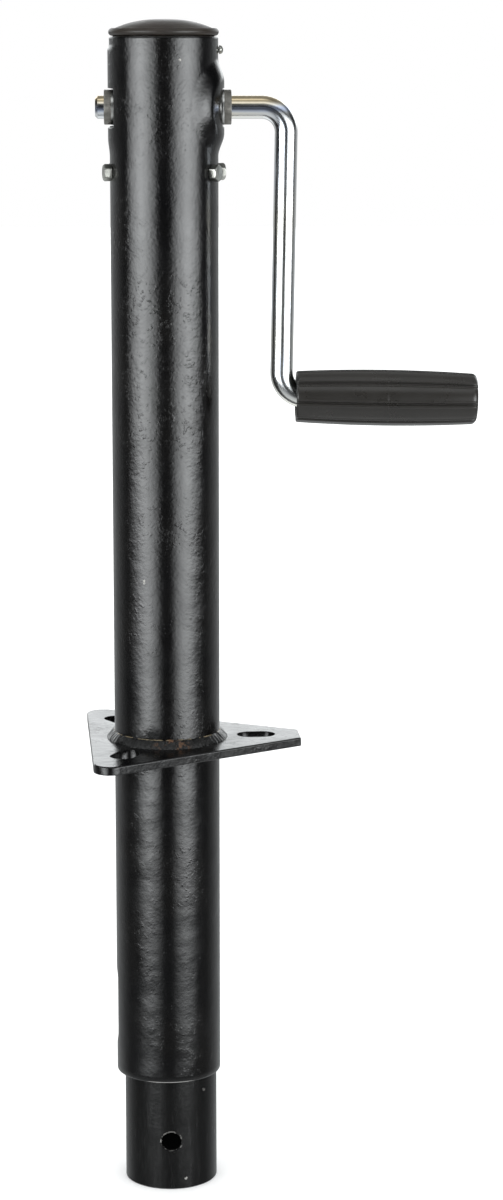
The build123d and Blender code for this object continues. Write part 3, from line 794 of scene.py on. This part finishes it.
def make_bushing(node, outward):
    """A flanged sintered bushing with soft, slightly worn edges; outward is +1 or -1 along X."""
    low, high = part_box(node)
    flange_r = (high.z - low.z) / 2
    barrel_r = bushing_barrel_r
    bore_r = rod_r + 0.05 * MM
    edge = bushing_edge
    length = high.x - low.x
    flange_at = length - bushing_flange_t
    profile = [
        (0, bore_r),
        (0, barrel_r - edge),
        (edge, barrel_r),
        (flange_at, barrel_r),
        (flange_at, flange_r - edge),
        (flange_at + 0.3 * edge, flange_r),
        (length - 1.2 * edge, flange_r),
        (length - 0.3 * edge, flange_r - 0.4 * edge),
        (length, flange_r - 1.2 * edge),
        (length, bore_r + edge),
        (length - edge, bore_r),
    ]
    start = low.x if outward > 0 else high.x
    place = Matrix.Translation((start, 0, crank_z)) @ Matrix.Rotation(outward * math.pi / 2, 4, "Y")
    loops = []
    for loop in turned(profile, place, 144):
        radial = loop - np.array([0, 0, crank_z])
        radial[:, 0] = 0
        from_axis = np.linalg.norm(radial, axis=1, keepdims=True)
        on_flange = (from_axis > barrel_r + edge).astype(float)
        wear = np.array([[bushing_wear * grain(point, 900, 3)] for point in loop])
        loops.append(loop + radial / from_axis * wear * on_flange)
    points, faces = skin(loops, closed=True)
    return piece(
        node + "_sintered",
        points,
        faces,
        finishes["sintered_iron"],
        "housing",
        [node],
        sharp=30,
    )


def hexagon(angles, flats, turn):
    """Radius of a hexagon at each angle."""
    sector = math.pi / 3
    return flats / 2 / np.cos((angles - turn + sector / 2) % sector - sector / 2)


def screw_profile(azimuth, count):
    """(along, radius) rows of one seat screw, from its tip to the dish in its head."""
    turn = math.radians(30) + 0.06 * math.sin(9 * azimuth)
    side = hexagon(circle(count), screw_flats, turn)
    flat_r = screw_flats / 2
    corner_r = flat_r / math.cos(math.pi / 6)
    top = tube_r + screw_head_h
    rows = [
        (screw_tip_r, screw_shank_r - 0.4 * MM),
        (screw_tip_r + 0.4 * MM, screw_shank_r),
        (tube_r, screw_shank_r),
        (tube_r, np.minimum(side, corner_r - 0.25 * MM) - 0.1 * MM),
        (tube_r + 0.2 * MM, np.minimum(side, corner_r - 0.1 * MM)),
    ]
    for share in np.linspace(0, 1, 7):
        limit = corner_r + 0.05 * MM - (corner_r - flat_r) * share
        rows.append((top - (1 - share) * screw_chamfer_h, np.minimum(side, limit)))
    rows.append((top, flat_r - 0.35 * MM))
    rows.append((top - screw_dish, flat_r - screw_dish_rim))
    return rows


def make_seat_screws():
    """Four hexagon screws with chamfered heads, each turned its own way."""
    count = 96
    all_points = []
    all_faces = []
    for azimuth in screw_azimuths:
        rows = screw_profile(azimuth, count)
        place = pointing_out(azimuth, screw_z)
        ends = [place @ Vector((0, 0, rows[i][0])) for i in (0, -1)]
        points, faces = skin(turned(rows, place, count), start_point=ends[0], end_point=ends[1])
        shift = len(all_points)
        all_points += points
        all_faces += [tuple(i + shift for i in face) for face in faces]
    return piece(
        "seat_hex_screws",
        all_points,
        all_faces,
        finishes["zinc_fasteners"],
        "housing",
        ["seat_screws"],
        sharp=28,
    )


# ---------------------------------------------------------------- crank

lean = (
    Matrix.Translation((rod_leg_x, 0, crank_z))
    @ Matrix.Rotation(crank_lean, 4, "Y")
    @ Matrix.Translation((-rod_leg_x, 0, -crank_z))
)


def rod_stations():
    """Points and directions along the bar's centreline, with its two bends."""
    corners = [
        Vector((rod_left_end, 0, crank_z)),
        Vector((rod_leg_x, 0, crank_z)),
        lean @ Vector((rod_leg_x, 0, spindle_z)),
        lean @ Vector((rod_right_end, 0, spindle_z)),
    ]
    steps = 28
    stations = []
    start = corners[0]
    for i in (1, 2):
        into = (corners[i] - corners[i - 1]).normalized()
        out = (corners[i + 1] - corners[i]).normalized()
        turn = into.angle(out)
        reach = bend_r * math.tan(turn / 2)
        first = corners[i] - into * reach
        stations += straight(start, first)
        toward = (out - into * into.dot(out)).normalized()
        centre = first + toward * bend_r
        for k in range(1, steps):
            angle = turn * k / steps
            point = centre + (into * math.sin(angle) - toward * math.cos(angle)) * bend_r
            stations.append((point, into * math.cos(angle) + toward * math.sin(angle)))
        start = corners[i] + out * reach
    return stations + straight(start, corners[3])


def straight(start, end, step=4 * MM):
    """Stations along a straight run."""
    run = end - start
    count = max(2, round(run.length / step))
    return [(start + run * k / count, run.normalized()) for k in range(count + 1)]


def unroll(made, count, travelled):
    """Coordinates for the drawn finish: metres along the bar and metres round it."""
    layer = made.data.uv_layers.new(name="along_bar")
    for polygon in made.data.polygons:
        columns = [made.data.loops[i].vertex_index % count for i in polygon.loop_indices]
        wraps = max(columns) - min(columns) > count / 2
        for loop_index in polygon.loop_indices:
            vertex = made.data.loops[loop_index].vertex_index
            row = min(vertex // count, len(travelled) - 1)
            column = vertex % count
            if wraps and column < count / 2:
                column += count
            around = 2 * math.pi * rod_r * column / count
            layer.data[loop_index].uv = (travelled[row], around)


def make_rod():
    """The bent bar, with chamfered ends and coordinates along it for its drawn finish."""
    stations = rod_stations()
    left, left_way = stations[0]
    right, right_way = stations[-1]
    stations.insert(1, (left + left_way * rod_left_chamfer, left_way))
    stations.insert(-1, (right - right_way * rod_right_chamfer, right_way))
    radii = [rod_r] * len(stations)
    radii[0] = rod_r - rod_left_chamfer
    radii[-1] = rod_r - rod_right_chamfer
    count = 64
    across = Vector((0, 1, 0))
    loops = []
    travelled = [0.0]
    for i, (point, direction) in enumerate(stations):
        up = direction.cross(across)
        loops.append(
            [point + (up * math.cos(a) + across * math.sin(a)) * radii[i] for a in circle(count)]
        )
        if i:
            travelled.append(travelled[-1] + (point - stations[i - 1][0]).length)
    points, faces = skin(loops, start_point=stations[0][0], end_point=stations[-1][0])
    made = piece(
        "crank_bar",
        points,
        faces,
        finishes["zinc_plate"],
        "crank",
        ["crank_rod"],
    )
    unroll(made, count, travelled)
    return made


# ---------------------------------------------------------------- grip


def grip_radius(x):
    """The grip's radius without its flutes at a station of the level spindle."""
    middle = (grip_start + grip_end) / 2
    stations = (grip_start, middle, grip_end)
    radii = (grip_r_start, grip_r_mid, grip_r_end)
    radius = 0.0
    for i in range(3):
        weight = 1.0
        for j in range(3):
            if j != i:
                weight *= (x - stations[j]) / (stations[i] - stations[j])
        radius += weight * radii[i]
    return radius


def grip_outline():
    """Stations along the grip, each with how far its rounded ends cut in there."""
    stations = []
    for k in range(4, -1, -1):
        turn = math.radians(90 * k / 5)
        x = grip_start + grip_round_start * (1 - math.sin(turn))
        stations.append((x, grip_round_start * (1 - math.cos(turn))))
    body = np.linspace(grip_start + grip_round_start, grip_end - grip_round_end, 90)
    stations += [(x, 0.0) for x in body]
    for k in range(1, 9):
        turn = math.radians(90 * k / 8)
        x = grip_end - grip_round_end * (1 - math.sin(turn))
        stations.append((x, grip_round_end * (1 - math.cos(turn))))
    return stations


def make_grip():
    """The fluted grip: a barrel with eight narrow grooves whose lips stand up a little."""
    count = 720
    angles = circle(count)
    apart = 2 * math.pi / flute_count
    off_flute = (angles - flute_turn + apart / 2) % apart - apart / 2
    panel = (1 + np.cos(off_flute / apart * 2 * math.pi)) / 2

    def loop(x, radius):
        height = spindle_z + radius * np.cos(angles)
        level = [np.full(count, x), -radius * np.sin(angles), height, np.ones(count)]
        return (np.array(lean) @ np.stack(level))[:3].T

    skins = []
    for x, cut in grip_outline():
        base = grip_radius(x) - cut
        arc = np.abs(off_flute * base)
        groove = flute_depth * (1 - smooth((arc - 0.1 * MM) / flute_half))
        lip = flute_lip_h * np.exp(-(((arc - flute_lip_at) / flute_lip_w) ** 2))
        fade = 1 - cut / grip_round_end
        skins.append(loop(x, base - fade * (groove - lip + panel_hollow * panel)))
    last_cut = grip_radius(grip_end) - grip_round_end
    for share in (0.75, 0.5, 0.25):
        dish = 0.25 * MM * (1 - share)
        skins.append(loop(grip_end - dish, np.full(count, last_cut * share)))
    throat = grip_start + grip_mouth_depth
    mouth = [
        loop(x, np.full(count, radius))
        for x, radius in (
            (grip_bore_end, grip_bore_r),
            (throat, grip_bore_r),
            (throat, grip_throat_r),
            (grip_start + 0.4 * MM, grip_mouth_r),
            (grip_start, grip_mouth_r + 0.4 * MM),
        )
    ]
    inner_end = lean @ Vector((grip_bore_end, 0, spindle_z))
    outer_end = lean @ Vector((grip_end, 0, spindle_z))
    points, faces = skin(mouth + skins, start_point=inner_end, end_point=outer_end)
    return piece(
        "fluted_grip",
        points,
        faces,
        finishes["grip_plastic"],
        "grip",
        ["grip"],
        sharp=38,
    )


make_outer_tube()
make_weld()
make_cap()
make_rivet()
make_bushing("right_bushing", 1)
make_bushing("left_bushing", -1)
make_seat_screws()
make_rod()
make_grip()

# ---------------------------------------------------------------- stage


def make_floor():
    """A wide pale floor at the ram's foot, which it follows as the ram moves."""
    size = 9.0
    z = cad_box[0][2]
    corners = [(-size, -size, z), (size, -size, z), (size, size, z), (-size, size, z)]
    mesh = bpy.data.meshes.new("studio_floor")
    mesh.from_pydata(corners, [], [(0, 1, 2, 3)])
    floor = bpy.data.objects.new("studio_floor", mesh)
    bpy.context.scene.collection.objects.link(floor)
    material = bpy.data.materials.new("pale_floor")
    material.use_nodes = True
    shader = material.node_tree.nodes["Principled BSDF"]
    shader.inputs["Base Color"].default_value = (0.92, 0.92, 0.92, 1)
    shader.inputs["Roughness"].default_value = 1.0
    shader.inputs["Specular IOR Level"].default_value = 0.0
    mesh.materials.append(material)
    floor.visible_glossy = False
    floor.parent = frame["bodies"]["ram"]


class Sky:
    """The world's node tree, with short calls that add brightness ramps by direction to it.

    side is the angle from the camera's side of the object, the same left and right, and height the
    angle above the horizon; the nodes hold both as shares from 0 to 1.
    """

    def __init__(self, name):
        world = bpy.data.worlds.new(name)
        bpy.context.scene.world = world
        world.use_nodes = True
        self.tree = world.node_tree
        self.tree.nodes.clear()
        direction = self.tree.nodes.new("ShaderNodeTexCoord").outputs["Generated"]
        split = self.tree.nodes.new("ShaderNodeSeparateXYZ")
        self.tree.links.new(direction, split.inputs["Vector"])
        x, y, z = (split.outputs[axis] for axis in "XYZ")
        azimuth = self.step("ARCTAN2", self.step("ABSOLUTE", x), self.step("MULTIPLY", y, -1))
        self.side = self.step("DIVIDE", azimuth, math.pi)
        self.height = self.step("ADD", self.step("DIVIDE", self.step("ARCSINE", z), math.pi), 0.5)

    def step(self, kind, a, b=None):
        """One arithmetic step on sockets or numbers."""
        node = self.tree.nodes.new("ShaderNodeMath")
        node.operation = kind
        for socket, value in zip(node.inputs, (a, b)):
            if isinstance(value, bpy.types.NodeSocket):
                self.tree.links.new(value, socket)
            elif value is not None:
                socket.default_value = value
        return node.outputs["Value"]

    def ramp(self, value, stops):
        """A grey ramp over value through (position, brightness) stops."""
        node = self.tree.nodes.new("ShaderNodeValToRGB")
        self.tree.links.new(value, node.inputs["Fac"])
        elements = node.color_ramp.elements
        elements[0].position = stops[0][0]
        elements[1].position = stops[-1][0]
        for position, _ in stops[1:-1]:
            elements.new(position)
        for element, (_, level) in zip(elements, stops):
            element.color = (level, level, level, 1)
        return node.outputs["Color"]

    def by_side(self, *stops, side=None):
        """Brightness by side, through (degrees, brightness) stops."""
        return self.ramp(side or self.side, [(degrees / 180, level) for degrees, level in stops])

    def by_height(self, *stops):
        """Brightness by height, through (degrees, brightness) stops."""
        return self.ramp(self.height, [(degrees / 180 + 0.5, level) for degrees, level in stops])

    def background(self, color, strength):
        """A background of that colour and strength."""
        node = self.tree.nodes.new("ShaderNodeBackground")
        node.inputs["Color"].default_value = (*color, 1)
        if isinstance(strength, bpy.types.NodeSocket):
            self.tree.links.new(strength, node.inputs["Strength"])
        else:
            node.inputs["Strength"].default_value = strength
        return node.outputs["Background"]


def softboxes(sky):
    """Two tall softboxes beside the camera, drawn in towards it at their feet."""
    squeeze = sky.by_height((-17, 1), (-11, 0.8), (-7, 0))
    box_side = sky.step("MULTIPLY", sky.side, sky.step("ADD", sky.step("MULTIPLY", squeeze, 0.3), 1))
    across = sky.by_side((13, 0), (33, 0.62), (48, 1), (54, 1), (70, 0.55), (86, 0), side=box_side)
    feet = ((-17.6, 0), (-16.4, 0.3), (-15.2, 0.58), (-13, 0.66), (-8, 0.8))
    heads = ((-2, 1), (2, 0.9), (8, 0.5), (16, 0.15), (25, 0))
    return sky.step("MULTIPLY", across, sky.by_height(*feet, *heads))


def backdrop(sky):
    """A dim low backdrop all round, brighter behind the object."""
    across = sky.by_side((0, 0.05), (95, 0.08), (125, 0.42), (150, 0.5), (168, 0.4), (180, 0.3))
    return sky.step("MULTIPLY", across, sky.by_height((-90, 1), (0, 1), (8, 0.1), (90, 0.1)))


def back_wall(sky):
    """A bright wall behind the object, just above the horizon."""
    across = sky.by_side((125, 0), (150, 1))
    return sky.step("MULTIPLY", across, sky.by_height((1, 0), (5, 1), (17, 1), (28, 0.08)))


def ground(sky):
    """Light from the pale ground."""
    return sky.by_height((-86, 0.5), (-57, 0.65), (-36, 0.5), (-26, 0.15), (-18, 0.04), (-6, 0))


def ceiling(sky):
    """A soft ceiling on the camera's side."""
    rise = ((24, 0), (34, 0.12), (42, 0.9))
    top = ((50, 0.9), (62, 0.25), (71, 0.25), (84, 1))
    across = sky.by_side((0, 1), (80, 0.8), (130, 0.1), (180, 0.1))
    return sky.step("MULTIPLY", sky.by_height(*rise, *top), across)


def make_light():
    """A soft studio of boxes, backdrop, wall, ground and ceiling; the camera sees plain white."""
    box_strength = 10
    wall_strength = 2.4
    ceiling_strength = 1.5
    sky = Sky("studio")
    strength = sky.step("MULTIPLY", softboxes(sky), box_strength)
    for light in (
        backdrop(sky),
        sky.step("MULTIPLY", back_wall(sky), wall_strength),
        ground(sky),
        sky.step("MULTIPLY", ceiling(sky), ceiling_strength),
    ):
        strength = sky.step("ADD", strength, light)
    from_camera = sky.tree.nodes.new("ShaderNodeLightPath").outputs["Is Camera Ray"]
    mixer = sky.tree.nodes.new("ShaderNodeMixShader")
    sky.tree.links.new(from_camera, mixer.inputs["Fac"])
    sky.tree.links.new(sky.background((0.97, 1.0, 1.01), strength), mixer.inputs[1])
    sky.tree.links.new(sky.background((1, 1, 1), 1.0), mixer.inputs[2])
    output = sky.tree.nodes.new("ShaderNodeOutputWorld")
    sky.tree.links.new(mixer.outputs["Shader"], output.inputs["Surface"])


def make_top_light():
    """Very soft light from above, which whitens the floor and grounds the ram."""
    lamp = bpy.data.lights.new("overhead_softbox", "SUN")
    lamp.angle = math.radians(110)
    lamp.energy = 3.2
    placed = bpy.data.objects.new("overhead_softbox", lamp)
    placed.visible_glossy = False
    bpy.context.scene.collection.objects.link(placed)


def make_camera():
    """A long lens, a little above the middle of the tube and looking down at it."""
    data = bpy.data.cameras.new("camera")
    data.lens = 88.68
    data.sensor_width = 36
    data.clip_end = 50
    camera = bpy.data.objects.new("camera", data)
    camera.location = (0, -1.5708, 0.3718)
    camera.rotation_euler = (math.radians(90 - 10.528), 0, math.radians(-1.675))
    bpy.context.scene.collection.objects.link(camera)
    bpy.context.scene.camera = camera


make_floor()
make_light()
make_top_light()
make_camera()
bpy.context.scene.view_settings.view_transform = "Standard"
